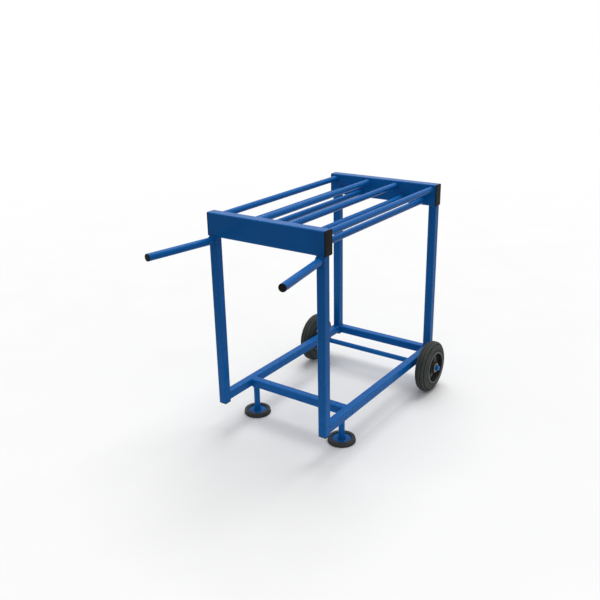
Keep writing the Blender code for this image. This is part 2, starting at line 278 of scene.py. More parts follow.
def endTree(tree, given, shape):
    real = addNode(tree, "GeometryNodeRealizeInstances", {0: shape})
    painted = addNode(tree, "GeometryNodeSetMaterial", {0: real, 2: given["Finish"]})
    addNode(tree, "NodeGroupOutput", {0: painted})


def grownMesh(tree, seedMesh, values):
    # runs a tree on a mesh and keeps the result as a plain mesh
    carrier = newObject(tree.name, seedMesh)
    modifier = carrier.modifiers.new(tree.name, "NODES")
    modifier.node_group = tree
    for item in tree.interface.items_tree:
        if item.item_type == "SOCKET" and item.in_out == "INPUT" and item.name in values:
            modifier[item.identifier] = values[item.name]
    return evaluatedMesh(carrier)


# Finishes

def newFinish(name, roughness, metallic=0.0, specular=0.5):
    finish = bpy.data.materials.new(name)
    finish.use_nodes = True
    tree = finish.node_tree
    shader = tree.nodes["Principled BSDF"]
    feed(tree, shader, {"Roughness": roughness, "Metallic": metallic, "Specular IOR Level": specular})
    return finish, tree, shader, addNode(tree, "ShaderNodeTexCoord").outputs["Object"]


def noiseOf(tree, places, sizes):
    if "stretch" in sizes:
        places = addNode(tree, "ShaderNodeMapping", {"Vector": places, "Scale": sizes["stretch"]})
    inputs = {"Vector": places, "Scale": sizes["scale"], "Detail": sizes["detail"]}
    return addNode(tree, "ShaderNodeTexNoise", inputs | {"Roughness": sizes.get("rough", 0.5)}).outputs["Fac"]


def rampOf(tree, value, low, high, toLow=0.0, toHigh=1.0):
    inputs = {"Value": value, "From Min": low, "From Max": high, "To Min": toLow, "To Max": toHigh}
    return addNode(tree, "ShaderNodeMapRange", inputs).outputs[0]


def patternOf(tree, places, sizes, toLow=0.0, toHigh=1.0):
    # noise, spread so that it runs from one value to another
    return rampOf(tree, noiseOf(tree, places, sizes), *sizes["between"], toLow, toHigh)


def glossOf(tree, places, sizes, roughness):
    lower, higher = sizes["spread"]
    return patternOf(tree, places, sizes, roughness + lower, roughness + higher)


def mixOf(tree, amount, first, second):
    inputs = {0: amount}
    for number, colour in ((6, first), (7, second)):
        inputs[number] = colour if isinstance(colour, bpy.types.NodeSocket) else (*colour, 1)
    return addNode(tree, "ShaderNodeMix", inputs, data_type="RGBA").outputs[2]


def bumpOf(tree, height, depth):
    return addNode(tree, "ShaderNodeBump", {"Height": height, "Distance": depth})


def grainOf(tree, places, sizes):
    return bumpOf(tree, noiseOf(tree, places, sizes), sizes["depth"])


def attributeOf(tree, name):
    return addNode(tree, "ShaderNodeAttribute", attribute_name=name).outputs["Fac"]


def wornOver(tree, places, sizes, colour, wornColour):
    # the worn colour in broken patches along the edges
    broken = patternOf(tree, places, sizes, 0, sizes["most"])
    return mixOf(tree, mathOf(tree, "MULTIPLY", attributeOf(tree, "wornEdge"), broken), colour, wornColour)


powderCoat = {
    "colour": (0.0026, 0.094, 0.320),
    "deeper": (0.0022, 0.085, 0.294),
    "thin": (0.0044, 0.106, 0.350),  # over edges, where the coat is thinner
    "rubbed": (0.0080, 0.116, 0.350),  # where it is rubbed in use
    "frameRub": 0.18,
    "railRub": 0.55,
    "roughness": 0.28,
    "specular": 0.08,
    "patches": {"scale": 9, "detail": 4, "between": (0.35, 0.65)},
    "breaks": {"scale": 160, "detail": 5, "rough": 0.6, "between": (0.42, 0.62), "most": 1.0},
    "scuffs": {"scale": 1, "detail": 6, "rough": 0.7, "stretch": (260, 14, 260), "between": (0.60, 0.80)},
    "gloss": {"scale": 34, "detail": 3, "between": (0.3, 0.7), "spread": (-0.03, 0.06)},
    "peel": {"scale": 620, "detail": 2, "depth": 0.000022},
    "specks": {"scale": 2600, "detail": 1, "depth": 0.0000044},
}


def powderCoatFinish(name, rub):
    roughness = powderCoat["roughness"]
    finish, tree, shader, places = newFinish(name, roughness, 0, powderCoat["specular"])
    patches = patternOf(tree, places, powderCoat["patches"])
    colour = mixOf(tree, patches, powderCoat["colour"], powderCoat["deeper"])
    colour = wornOver(tree, places, powderCoat["breaks"], colour, powderCoat["thin"])
    rubbed = patternOf(tree, places, powderCoat["scuffs"], 0.0, rub)
    colour = mixOf(tree, rubbed, colour, powderCoat["rubbed"])
    gloss = glossOf(tree, places, powderCoat["gloss"], roughness)
    specks = grainOf(tree, places, powderCoat["specks"])
    feed(tree, specks, {"Normal": grainOf(tree, places, powderCoat["peel"])})
    feed(tree, shader, {"Base Color": colour, "Roughness": gloss, "Normal": specks})
    return finish


mouldedPlastic = {
    "cap": {
        "colour": (0.0065, 0.0072, 0.0060), "greyer": (0.012, 0.013, 0.011),
        "roughness": 0.46, "specular": 0.06,
    },
    "rim": {
        "colour": (0.0055, 0.0055, 0.0055), "greyer": (0.011, 0.0115, 0.0115),
        "roughness": 0.40, "specular": 0.14,
    },
    "rubbed": 2.1,  # times the greyer colour
    "clouds": {"scale": 70, "detail": 5, "rough": 0.6, "between": (0.40, 0.75)},
    "rubs": {"scale": 300, "detail": 4, "rough": 0.6, "between": (0.45, 0.75), "most": 0.7},
    "gloss": {"scale": 45, "detail": 3, "between": (0.3, 0.7), "spread": (-0.04, 0.10)},
    "grain": {"scale": 1900, "detail": 2, "depth": 0.00005},
}

# pairs are where each share begins and where it is full: dust on the lip, painted shade on the inner lip and
# painted light on the barrel's wall
rimDustAndPaintedLight = {
    "lipColour": (0.104, 0.111, 0.106),
    # painted light: a light grey that stands in for light on the barrel's wall behind the web
    "paintedLitWallColour": (0.56, 0.57, 0.55),
    "amount": 0.92,
    "thinnest": 0.7,  # share of the amount
    "innerLip": 0.35,  # painted shade: the share of the lip's grey that the inner lip has
    "lip": (0.0566, 0.0575),  # distances from the axle
    "wall": (0.0525, 0.0545),
    "behindWeb": (0.2735, 0.2720),  # distances from the middle of the rack
    "band": (0.2570, 0.2630),
    "uneven": {"scale": 90, "detail": 4, "between": (0.3, 0.6)},
}


def axleReach(tree, places, axlePlace):
    # distance from the axle
    inputs = {"Vector": places, "Location": [-part for part in axlePlace], "Scale": (0, 1, 1)}
    centred = addNode(tree, "ShaderNodeMapping", inputs)
    return addNode(tree, "ShaderNodeVectorMath", {0: centred}, operation="LENGTH").outputs["Value"]


def dustAndPaintedLightOver(tree, places, axlePlace, colour):
    # dust on the lip of the barrel, with painted shade on the inner lip, and painted light on a band of its
    # wall behind the web
    reach = axleReach(tree, places, axlePlace)
    across = addNode(tree, "ShaderNodeSeparateXYZ", {0: places}).outputs["X"]
    across = mathOf(tree, "ABSOLUTE", across)
    behind = rampOf(tree, across, *rimDustAndPaintedLight["behindWeb"])
    lip = rampOf(tree, reach, *rimDustAndPaintedLight["lip"])
    wall = rampOf(tree, reach, *rimDustAndPaintedLight["wall"])
    for share in (behind, rampOf(tree, across, *rimDustAndPaintedLight["band"]), rampOf(tree, lip, 1, 0)):
        wall = mathOf(tree, "MULTIPLY", wall, share)
    # painted shade: the inner lip behind the web gets less of the grey
    lip = mathOf(tree, "MULTIPLY", lip, rampOf(tree, behind, 0, 1, 1, rimDustAndPaintedLight["innerLip"]))
    most = rimDustAndPaintedLight["amount"]
    uneven = patternOf(tree, places, rimDustAndPaintedLight["uneven"], rimDustAndPaintedLight["thinnest"] * most, most)
    # the wall gets the painted light, the lip gets the dust
    for dustAndLightMask, dustAndLightColour in ((wall, rimDustAndPaintedLight["paintedLitWallColour"]), (lip, rimDustAndPaintedLight["lipColour"])):
        colour = mixOf(tree, mathOf(tree, "MULTIPLY", dustAndLightMask, uneven), colour, dustAndLightColour)
    return colour


def plasticFinish(name, kind, axlePlace=None):
    sizes = mouldedPlastic[kind]
    finish, tree, shader, places = newFinish(name, sizes["roughness"], 0, sizes["specular"])
    clouds = patternOf(tree, places, mouldedPlastic["clouds"])
    colour = mixOf(tree, clouds, sizes["colour"], sizes["greyer"])
    rubbed = [mouldedPlastic["rubbed"] * part for part in sizes["greyer"]]
    colour = wornOver(tree, places, mouldedPlastic["rubs"], colour, rubbed)
    if axlePlace:
        colour = dustAndPaintedLightOver(tree, places, axlePlace, colour)
    grain = grainOf(tree, places, mouldedPlastic["grain"])
    gloss = glossOf(tree, places, mouldedPlastic["gloss"], sizes["roughness"])
    feed(tree, shader, {"Base Color": colour, "Roughness": gloss, "Normal": grain})
    return finish


rubber = {
    "tyre": {
        "colour": (0.019, 0.025, 0.023), "dust": (0.064, 0.069, 0.063), "dustAmount": 0.42, "roughness": 0.74,
    },
    "foot": {
        "colour": (0.013, 0.015, 0.014), "dust": (0.056, 0.057, 0.052), "dustAmount": 0.28, "roughness": 0.66,
    },
    "specular": 0.35,
    # painted shade at the bottom of the tyre's grooves
    "grooveShadeColour": (0.006, 0.007, 0.007),
    "bloom": {"scale": 28, "detail": 6, "rough": 0.65, "between": (0.38, 0.80)},
    "scuffs": {"scale": 210, "detail": 5, "rough": 0.6, "between": (0.45, 0.70), "most": 0.35},
    "gloss": {"scale": 60, "detail": 4, "between": (0.3, 0.7), "spread": (-0.08, 0.10)},
    "grain": {"scale": 1300, "detail": 3, "rough": 0.6, "depth": 0.00009},
}


def rubberFinish(name, kind):
    sizes = rubber[kind]
    finish, tree, shader, places = newFinish(name, sizes["roughness"], 0, rubber["specular"])
    bloom = patternOf(tree, places, rubber["bloom"], 0, sizes["dustAmount"])
    colour = mixOf(tree, bloom, sizes["colour"], sizes["dust"])
    colour = wornOver(tree, places, rubber["scuffs"], colour, sizes["dust"])
    # painted shade: darker at the bottom of the grooves
    colour = mixOf(tree, attributeOf(tree, "sunk"), colour, rubber["grooveShadeColour"])
    grain = grainOf(tree, places, rubber["grain"])
    gloss = glossOf(tree, places, rubber["gloss"], sizes["roughness"])
    feed(tree, shader, {"Base Color": colour, "Roughness": gloss, "Normal": grain})
    return finish


zincPlate = {
    "colour": (0.21, 0.24, 0.22),
    "yellowed": (0.19, 0.20, 0.15),
    "roughness": 0.45,
    "metallic": 0.45,
    "tint": {"scale": 120, "detail": 4, "between": (0.35, 0.65)},
    "gloss": {"scale": 300, "detail": 4, "between": (0.3, 0.7), "spread": (-0.07, 0.10)},
    "rings": {"scale": 2200, "detail": 2, "depth": 0.00002},
}


def zincFinish(name, axlePlace):
    # turning marks run in rings about the axle
    finish, tree, shader, places = newFinish(name, zincPlate["roughness"], zincPlate["metallic"])
    tint = patternOf(tree, places, zincPlate["tint"])
    colour = mixOf(tree, tint, zincPlate["colour"], zincPlate["yellowed"])
    marks = zincPlate["rings"]
    inputs = {"W": axleReach(tree, places, axlePlace), "Scale": marks["scale"], "Detail": marks["detail"]}
    turned = addNode(tree, "ShaderNodeTexNoise", inputs, noise_dimensions="1D").outputs["Fac"]
    gloss = glossOf(tree, places, zincPlate["gloss"], zincPlate["roughness"])
    normal = bumpOf(tree, turned, marks["depth"])
    feed(tree, shader, {"Base Color": colour, "Roughness": gloss, "Normal": normal})
    return finish


bushPlastic = {
    "colour": (0.42, 0.40, 0.35),
    "greased": (0.26, 0.24, 0.19),
    "roughness": 0.42,
    "stains": {"scale": 240, "detail": 5, "between": (0.40, 0.70)},
    "grain": {"scale": 1500, "detail": 2, "depth": 0.00003},
}


def bushFinish(name):
    finish, tree, shader, places = newFinish(name, bushPlastic["roughness"])
    stains = patternOf(tree, places, bushPlastic["stains"])
    colour = mixOf(tree, stains, bushPlastic["colour"], bushPlastic["greased"])
    feed(tree, shader, {"Base Color": colour, "Normal": grainOf(tree, places, bushPlastic["grain"])})
    return finish


axleCentre, axleSize = boxOf("axle_bar")
axleLine = (0, axleCentre.y, axleCentre.z)
framePaint = powderCoatFinish("framePaint", powderCoat["frameRub"])
railPaint = powderCoatFinish("railPaint", powderCoat["railRub"])
capPlastic = plasticFinish("capPlastic", "cap")
rimPlastic = plasticFinish("rimPlastic", "rim", axleLine)
tyreRubber = rubberFinish("tyreRubber", "tyre")
padRubber = rubberFinish("padRubber", "foot")
zincCoat = zincFinish("zincCoat", axleLine)
bushCoat = bushFinish("bushCoat")
print("finishes made")


# Rectangular tubes: beams, legs, side rails and cross tubes

squareTube = {"corner": 0.0035, "wall": 0.002}
beamTube = {"corner": 0.0045, "wall": 0.0025}
# the keepers are how far beside an edge an extra ring or point keeps the flats' shading flat
tubeEnd = {"bevel": 0.0003, "keeper": 0.002, "flatKeeper": 0.001}


def rectangularTube(node, sizes):
    # the tube runs along the node's longest side
    centre, extent = boxOf(node)
    longest = max(range(3), key=lambda axis: extent[axis])
    turn, width, height = (
        (alongX, extent.z, extent.y), (alongY, extent.x, extent.z), (Matrix(), extent.x, extent.y),
    )[longest]
    half = extent[longest] / 2
    bevel = tubeEnd["bevel"]
    keeper = tubeEnd["keeper"]
    rings = []
    for level, inset in (
        (-half, bevel), (-half + bevel, 0), (-half + keeper, 0), (half - keeper, 0), (half - bevel, 0),
        (half, bevel), (half, sizes["wall"]), (-half, sizes["wall"]),
    ):
        outline = roundedOutline(width, height, sizes["corner"], inset, tubeEnd["flatKeeper"])
        rings.append(ringAt(outline, level))
    replaceNode(node, placed(loftMesh(rings, True), centre, turn), framePaint, "blue_paint")


for end in endSigns:
    rectangularTube(end + "_beam", beamTube)
    rectangularTube(end + "_cross_tube", squareTube)
    for side in sideSigns:
        rectangularTube(f"leg_{end}_{side}", squareTube)
for side in sideSigns:
    rectangularTube("side_rail_" + side, squareTube)
print("rectangular tubes made")


# Caps of the beams and plugs of the legs

beamCap = {
    "corner": 0.0045, "flange": 0.004, "edge": 0.0014, "crown": 0.0004, "wall": 0.0028, "gate": 0.0022,
}
legPlug = {
    "corner": 0.0035, "flange": 0.0035, "edge": 0.0011, "crown": 0.0003, "wall": 0.0023, "gate": 0.0016,
}
moulding = {
    "crownRings": ((0, 0.40), (0.25, 0.25)),  # share of the crown, and of the narrow side as inset
    "edgeStart": 0.0012,
    "edgeSteps": 4,
    "flangeKeeper": 0.0006,
    "flangeBevel": 0.0004,
    "flatKeeper": 0.0006,
    "bossTaper": 0.0005,
    "bossLead": 0.002,
    "leadTapers": 4,
    "gateOut": 0.00018,
    "gateSunk": 0.0002,
    "gateTaper": 0.8,
    "gateSides": 24,
}


def mouldedPlug(node, sizes, width, height, length, turn, outerPlace):
    # outer face at height 0, crowned a little, with the small round mark where the plastic came in
    edge = sizes["edge"]
    crown = sizes["crown"]
    flange = sizes["flange"]
    taper = moulding["bossTaper"]
    sections = [(crown * rise, min(width, height) * share) for rise, share in moulding["crownRings"]]
    sections.append((crown, edge + moulding["edgeStart"]))
    for step in range(moulding["edgeSteps"] + 1):
        angle = math.pi / 2 * step / moulding["edgeSteps"]
        sections.append((crown + edge * (1 - math.cos(angle)), edge * (1 - math.sin(angle))))
    sections += [
        (flange - moulding["flangeKeeper"], 0), (flange, moulding["flangeBevel"]), (flange, sizes["wall"]),
        (length - moulding["bossLead"], sizes["wall"] + taper),
        (length, sizes["wall"] + moulding["leadTapers"] * taper),
    ]
    rings = []
    for level, inset in sections:
        outline = roundedOutline(width, height, sizes["corner"], inset, moulding["flatKeeper"])
        rings.append(ringAt(outline, level))
    out = -moulding["gateOut"]
    sunk = moulding["gateSunk"]
    gateProfile = [(0, out), (sizes["gate"] * moulding["gateTaper"], out), (sizes["gate"], sunk), (0, sunk)]
    mesh = joinedMesh([loftMesh(rings), turnedMesh(gateProfile, moulding["gateSides"])])
    replaceNode(node, placed(mesh, outerPlace, turn), capPlastic, "black_plastic")


for end in endSigns:
    for side, sign in sideSigns.items():
        node = f"beam_cap_{end}_{side}"
        centre, extent = boxOf(node)
        turn = Matrix.Rotation(-sign * math.pi / 2, 4, "Y")
        outer = Vector((centre.x + sign * extent.x / 2, centre.y, centre.z))
        mouldedPlug(node, beamCap, extent.z, extent.y, extent.x, turn, outer)
        node = f"leg_plug_{end}_{side}"
        centre, extent = boxOf(node)
        outer = Vector((centre.x, centre.y, centre.z - extent.z / 2))
        mouldedPlug(node, legPlug, extent.x, extent.y, extent.z, Matrix(), outer)
print("caps and leg plugs made")


# Round tube, grown by a node tree: a section of the wall carried round a circle

tubeTree, given = newTree("roundTube", ("Radius", "Wall", "Length", "Bevel"), ("Sides",))
halfWall = mathOf(tubeTree, "MULTIPLY", given["Wall"], 0.5)
middle = mathOf(tubeTree, "SUBTRACT", given["Radius"], halfWall)
inputs = {"Resolution": given["Sides"], "Radius": middle}
circle = addNode(tubeTree, "GeometryNodeCurvePrimitiveCircle", inputs, mode="RADIUS")
inputs = {"Width": given["Wall"], "Height": given["Length"]}
section = addNode(tubeTree, "GeometryNodeCurvePrimitiveQuadrilateral", inputs, mode="RECTANGLE")
inputs = {0: section, "Radius": given["Bevel"], "Count": 1}
bevelled = addNode(tubeTree, "GeometryNodeFilletCurve", inputs, mode="POLY")
endTree(tubeTree, given, addNode(tubeTree, "GeometryNodeCurveToMesh", {0: circle, 1: bevelled}))


def roundTube(radius, length, sizes, finish):
    values = {
        "Radius": radius, "Wall": sizes["wall"], "Length": length, "Bevel": sizes["bevel"],
        "Sides": sizes["sides"], "Finish": finish,
    }
    work = bmesh.new()
    work.from_mesh(grownMesh(tubeTree, bpy.data.meshes.new("tubeSeed"), values))
    bmesh.ops.remove_doubles(work, verts=work.verts, dist=detail["merge"])
    return meshOf(work)


# Rails of the two tracks

trackRail = {"wall": 0.002, "sides": 48, "bevel": 0.0002}
levels = ("upper", "lower")
edges = ("inner", "outer")
railNodes = [f"{level}_rail_{side}_{edge}" for level in levels for side in sideSigns for edge in edges]
for node in railNodes:
    centre, extent = boxOf(node)
    mesh = roundTube(extent.x / 2, extent.y, trackRail, railPaint)
    replaceNode(node, placed(mesh, centre, alongY), railPaint, "blue_paint")
print("rails made")


# Handles and their plugs

handle = {"splayDegrees": 10.2, "length": 0.256, "wall": 0.002, "sides": 64, "bevel": 0.0003, "keeper": 0.002}
handlePlug = {
    "flange": 0.0035,
    "edge": 0.0013,
    "crown": 0.0005,
    "crownRing": (0.45, 0.3),  # share of the radius, and of the crown
    "seat": 0.0003,  # between the tube's end and the flange
    "flangeBevel": 0.0004,
    "bossGap": 0.0003,
    "bossTaper": 0.0004,
    "bossLead": 0.001,
    "bossEnd": 0.0155,
    "gate": 0.0016,
    "gateDepth": 0.0003,
    "sides": 64,
}
splay = math.radians(handle["splayDegrees"])


def handleAxis(side):
    # from the middle of the leg's front face, outwards and to the front
    leg, legSize = boxOf("leg_front_" + side)
    grip, gripSize = boxOf("handle_" + side)
    root = Vector((leg.x, leg.y - legSize.y / 2, grip.z))
    turn = Euler((math.pi / 2, 0, sideSigns[side] * splay)).to_matrix().to_4x4()
    return root, turn, gripSize.z / 2


def plugProfile(radius):
    edge = handlePlug["edge"]
    crown = handlePlug["crown"]
    flange = handlePlug["flange"]
    bevel = handlePlug["flangeBevel"]
    gate = handlePlug["gate"]
    sunk = handlePlug["gateDepth"]
    across, rise = handlePlug["crownRing"]
    boss = radius - handle["wall"] - handlePlug["bossGap"]
    slim = boss - handlePlug["bossTaper"]
    end = handlePlug["bossEnd"]
    lead = handlePlug["bossLead"]
    profile = [(0, sunk), (gate, sunk), (gate + sunk, 0), (radius * across, crown * rise)]
    profile += profileArc(radius - edge, crown + edge, edge, -90, 0)
    profile += [(radius, flange - bevel), (radius - bevel, flange), (boss, flange)]
    return profile + [(slim, end - lead), (slim - lead, end), (0, end)]


for side, sign in sideSigns.items():
    root, turn, radius = handleAxis(side)
    slope = sign * math.tan(splay)
    far = handle["length"] - handlePlug["flange"] - handlePlug["seat"]
    bore = radius - handle["wall"]
    rings = []
    # without a level, the ring lies in the leg's face
    for size, level in (
        (radius, None), (radius, far - handle["keeper"]), (radius, far - handle["bevel"]),
        (radius - handle["bevel"], far), (bore, far), (bore, None),
    ):
        outline = circleOutline(size, handle["sides"])
        rings.append([(*point, slope * point.x if level is None else level) for point in outline])
    replaceNode("handle_" + side, placed(loftMesh(rings, True), root, turn), railPaint, "blue_paint")
    end = turn @ Matrix.Translation((0, 0, handle["length"])) @ Matrix.Rotation(math.pi, 4, "X")
    plug = placed(turnedMesh(plugProfile(radius), handlePlug["sides"]), root, end)
    replaceNode("handle_plug_" + side, plug, capPlastic, "black_plastic")
print("handles made")


# Feet: stem, disc and rubber cup

footStem = {"wall": 0.002, "bevel": 0.0002, "sides": 56}
footDisc = {"edge": 0.0016, "underEdge": 0.0004, "sides": 96}
footCup = {
    "bore": 0.0343,
    "floor": 0.005,
    "floorBevel": 0.0008,
    "lip": 0.0012,
    "taper": 0.002,
    "shoulder": 0.0018,
    "shoulderEndDegrees": 4,
    "shoulderSteps": 7,
    "sideGroove": ((0.0006, 0.0064), (0.0011, 0.0058), (0.0010, 0.0048), (0.0003, 0.0042)),  # depth, level
    "foot": 0.0022,
    "soleGrooves": (0.038, 0.027, 0.016),
    "grooveMouth": 0.0016,  # half widths
    "grooveFloor": 0.0010,
    "grooveDepth": 0.0010,
    "sides": 112,
}


def discProfile(radius, thick):
    edge = footDisc["edge"]
    under = footDisc["underEdge"]
    rounded = profileArc(radius - edge, thick - edge, edge, 90, 0)
    return [(0, thick)] + rounded + [(radius, under), (radius - under, 0), (0, 0)]


def cupProfile(radius, height):
    lip = footCup["lip"]
    shoulder = footCup["shoulder"]
    foot = footCup["foot"]
    bore = footCup["bore"]
    floor = footCup["floor"]
    bevel = footCup["floorBevel"]
    profile = [(0, floor), (bore - bevel, floor), (bore, floor + bevel)]
    profile += profileArc(bore + lip, height - lip, lip, 180, 90)
    outer = radius - footCup["taper"] - shoulder
    endDegrees = footCup["shoulderEndDegrees"]
    profile += profileArc(outer, height - shoulder, shoulder, 90, endDegrees, footCup["shoulderSteps"])
    profile += [(radius - depth, level) for depth, level in footCup["sideGroove"]]
    profile += profileArc(radius - foot, foot, foot, 0, -90)
    mouth = footCup["grooveMouth"]
    flat = footCup["grooveFloor"]
    depth = footCup["grooveDepth"]
    for groove in footCup["soleGrooves"]:
        profile += [(groove + mouth, 0), (groove + flat, depth), (groove - flat, depth), (groove - mouth, 0)]
    return profile + [(0, 0)]


for side in sideSigns:
    centre, extent = boxOf("foot_stem_" + side)
    mesh = roundTube(extent.x / 2, extent.z, footStem, framePaint)
    replaceNode("foot_stem_" + side, placed(mesh, centre), framePaint, "blue_paint")
    centre, extent = boxOf("foot_disc_" + side)
    mesh = turnedMesh(discProfile(extent.x / 2, extent.z), footDisc["sides"])
    disc = placed(mesh, (centre.x, centre.y, centre.z - extent.z / 2))
    replaceNode("foot_disc_" + side, disc, framePaint, "blue_paint")
    centre, extent = boxOf("foot_pad_" + side)
    cup = placed(turnedMesh(cupProfile(extent.x / 2, extent.z), footCup["sides"]), (centre.x, centre.y, 0))
    replaceNode("foot_pad_" + side, cup, padRubber, "foot_rubber")
print("feet made")


# Axle bar with a cross hole at each end, and the rings that sit on it

axle = {
    "bevel": 0.0015,
    "drill": 0.0022,  # the small drilled mark in each end
    "drillDepth": 0.0013,
    "keeper": 0.006,
    "sides": 64,
    "hole": 0.00225,
    "holeHalf": 0.02,
    "holeSides": 32,
    "ringBore": 0.0103,
}
axleRings = {
    "wheel_spacer": {"bevel": 0.0005, "sides": 64},
    "inner_washer": {"bevel": 0.0003, "sides": 72},
    "outer_washer": {"bevel": 0.0003, "sides": 72},
}

half = axleSize.x / 2
radius = axleSize.y / 2
profile = [(size, half - level) for size, level in (
    (0, axle["drillDepth"]), (axle["drill"], 0), (radius - axle["bevel"], 0), (radius, axle["bevel"]),
    (radius, axle["keeper"]),
)]
profile += [(size, -level) for size, level in reversed(profile)]
carrier = newObject("axleCarrier", placed(turnedMesh(profile, axle["sides"]), axleCentre, alongX))
drills = []
for side in sideSigns:
    pin = boxOf("split_pin_" + side)[0]
    size = axle["hole"]
    reach = axle["holeHalf"]
    drill = turnedMesh([(0, reach), (size, reach), (size, -reach), (0, -reach)], axle["holeSides"])
    drills.append(newObject("drill", placed(drill, (pin.x, axleCentre.y, axleCentre.z))))
    cut = carrier.modifiers.new("drill", "BOOLEAN")
    cut.operation = "DIFFERENCE"
    cut.solver = "EXACT"
    cut.object = drills[-1]
replaceNode("axle_bar", evaluatedMesh(carrier), framePaint, "blue_paint")
for drill in drills:
    bpy.data.objects.remove(drill, do_unlink=True)

for kind, sizes in axleRings.items():
    for side in sideSigns:
        node = f"{kind}_{side}"
        centre, extent = boxOf(node)
        wall = {"wall": extent.y / 2 - axle["ringBore"]}
        mesh = roundTube(extent.y / 2, extent.x, sizes | wall, zincCoat)
        replaceNode(node, placed(mesh, centre, alongX), zincCoat, "zinc")


# A wire through points with rounded bends, grown by a node tree: the split pins

wireTree, given = newTree("bentWire", ("Radius", "Bend"), ("Bend steps", "Sides"))
line = addNode(wireTree, "GeometryNodeMeshToCurve", {0: given["Geometry"]})
inputs = {0: line, "Count": given["Bend steps"], "Radius": given["Bend"], "Limit Radius": True}
bends = addNode(wireTree, "GeometryNodeFilletCurve", inputs, mode="POLY")
inputs = {"Resolution": given["Sides"], "Radius": given["Radius"]}
wireRound = addNode(wireTree, "GeometryNodeCurvePrimitiveCircle", inputs, mode="RADIUS")
inputs = {0: bends, 1: wireRound, "Fill Caps": True}
endTree(wireTree, given, addNode(wireTree, "GeometryNodeCurveToMesh", inputs))

splitPin = {
    "wire": 0.0009,
    "slit": 0.0003,
    "neck": 0.001,
    "eye": 0.0034,
    "eyeSteps": 28,
    "leanDegrees": 60,
    "tail": 0.006,
    "bend": 0.0012,
    "bendSteps": 5,
    "sides": 14,
}


def pinRoute(barRadius):
    # from one bent end up through the bar, round the eye and down again
    lean = math.radians(splitPin["leanDegrees"])
    apart = splitPin["wire"] + splitPin["slit"] / 2
    eyeRadius = splitPin["eye"]
    tail = splitPin["tail"]
    climb = (eyeRadius * math.sin(lean) - apart) / math.cos(lean)
    neck = barRadius + splitPin["neck"]
    eyeLevel = neck + climb * math.sin(lean) + eyeRadius * math.cos(lean)
    bentEnd = (-apart - tail * math.sin(lean), -neck - tail * math.cos(lean))
    oneLeg = [bentEnd, (-apart, -neck), (-apart, neck)]
    eye = []
    for step in range(splitPin["eyeSteps"] + 1):
        angle = -math.pi / 2 - lean - 2 * (math.pi - lean) * step / splitPin["eyeSteps"]
        eye.append((eyeRadius * math.cos(angle), eyeLevel + eyeRadius * math.sin(angle)))
    return [Vector((0, y, z)) for y, z in oneLeg + eye + [(-y, z) for y, z in reversed(oneLeg)]]


def pathMesh(paths):
    # paths are lists of points, with whether each closes on itself
    points = []
    links = []
    for path, closed in paths:
        start = len(points)
        points += path
        links += [(start + number, start + number + 1) for number in range(len(path) - 1)]
        if closed:
            links.append((len(points) - 1, start))
    mesh = bpy.data.meshes.new("path")
    mesh.from_pydata(points, links, [])
    return mesh


for side in sideSigns:
    pin = boxOf("split_pin_" + side)[0]
    route = pathMesh([(pinRoute(axleSize.y / 2), False)])
    values = {
        "Radius": splitPin["wire"], "Bend": splitPin["bend"], "Bend steps": splitPin["bendSteps"],
        "Sides": splitPin["sides"], "Finish": zincCoat,
    }
    mesh = placed(grownMesh(wireTree, route, values), (pin.x, axleCentre.y, axleCentre.z))
    replaceNode("split_pin_" + side, mesh, zincCoat, "zinc")
print("axle made")


# Tyres

tyre = {
    "sides": 144,
    "crown": 0.006,  # half width of the level middle of the tread
    "bulge": 0.070,  # radius where the sides stand out most
    "grooves": (0.01875, 0.00625, -0.00625, -0.01875),
    "grooveWidth": 0.0034,
    "grooveDepth": 0.0026,
    "grooveFoot": 0.6,  # shares of the half width, where the floor's rounding starts and ends
    "grooveFloor": 0.3,
    "lip": 0.0004,
    "ribSteps": 5,
    "slopeStep": 0.0001,
    # radius and distance from the middle of the tyre, over the bead and up to the bulge
    "bead": (
        (0.0630, 0.0198), (0.0633, 0.0212), (0.0641, 0.0220), (0.0652, 0.0223), (0.0660, 0.0222),
        (0.0664, 0.0215), (0.0671, 0.0215), (0.0676, 0.0224), (0.0685, 0.0235),
    ),
    # radius on the side, and how deep a moulded line is there
    "sideLines": (
        (0.0700, 0), (0.0725, 0), (0.0745, 0), (0.0749, 0.0006), (0.0757, 0.0006), (0.0761, 0), (0.0785, 0),
        (0.0808, 0), (0.0812, 0.0006), (0.0820, 0.0006), (0.0824, 0), (0.0845, 0),
    ),
}


